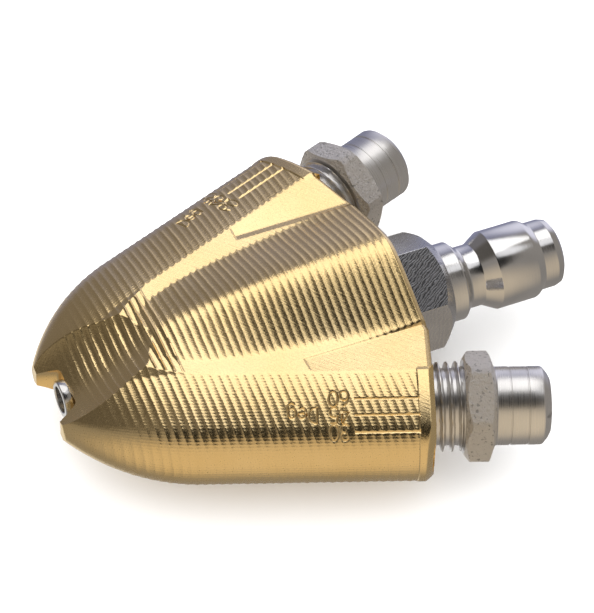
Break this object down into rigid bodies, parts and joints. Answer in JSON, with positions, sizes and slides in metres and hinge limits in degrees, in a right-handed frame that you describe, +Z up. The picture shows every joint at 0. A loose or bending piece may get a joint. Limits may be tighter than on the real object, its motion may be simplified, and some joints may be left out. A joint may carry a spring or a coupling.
{
  "type": "three-way jetting nozzle",
  "caption": "Milled brass jetting nozzle head: one quick-connect inlet plug feeds a front jet and two splayed fan jets that point rearward and turn to set their fan angle.",
  "frame": {"origin": "under the centre of the bounding box, on the plane of the underside land", "axes": "+Z up, -Y towards the nose and its front jet, +Y towards the inlet plug; all three bores lie in the level plane at z = 12 mm"},
  "size_m": [0.0663, 0.0832, 0.0258],
  "materials": {
    "brass": "milled, with fine scallop ridges",
    "plug_steel": "polished",
    "front_jet_steel": "turned",
    "jet_steel": "turned barrel, rough cast hexagon",
    "vane_steel": "pressed sheet",
    "thread_tape": "PTFE film"
  },
  "bodies": {
    "head": {"body": "brass", "inlet_plug": "plug_steel", "front_jet": "front_jet_steel", "thread_tape_inlet": "thread_tape", "thread_tape_front": "thread_tape"},
    "left_jet": {"rear_jet_left": "jet_steel", "stream_straightener_left": "vane_steel", "thread_tape_left": "thread_tape"},
    "right_jet": {"rear_jet_right": "jet_steel", "stream_straightener_right": "vane_steel", "thread_tape_right": "thread_tape"}
  },
  "joints": [
    {"name": "left_fan_turn", "type": "hinge", "parent": "head", "child": "left_jet", "pos_m": [0.022, 0.0106, 0.012], "axis": [-0.3559, -0.9345, 0], "range_deg": [0, 30]},
    {"name": "right_fan_turn", "type": "hinge", "parent": "head", "child": "right_jet", "pos_m": [-0.022, 0.0106, 0.012], "axis": [-0.3559, 0.9345, 0], "range_deg": [0, 30]}
  ]
}
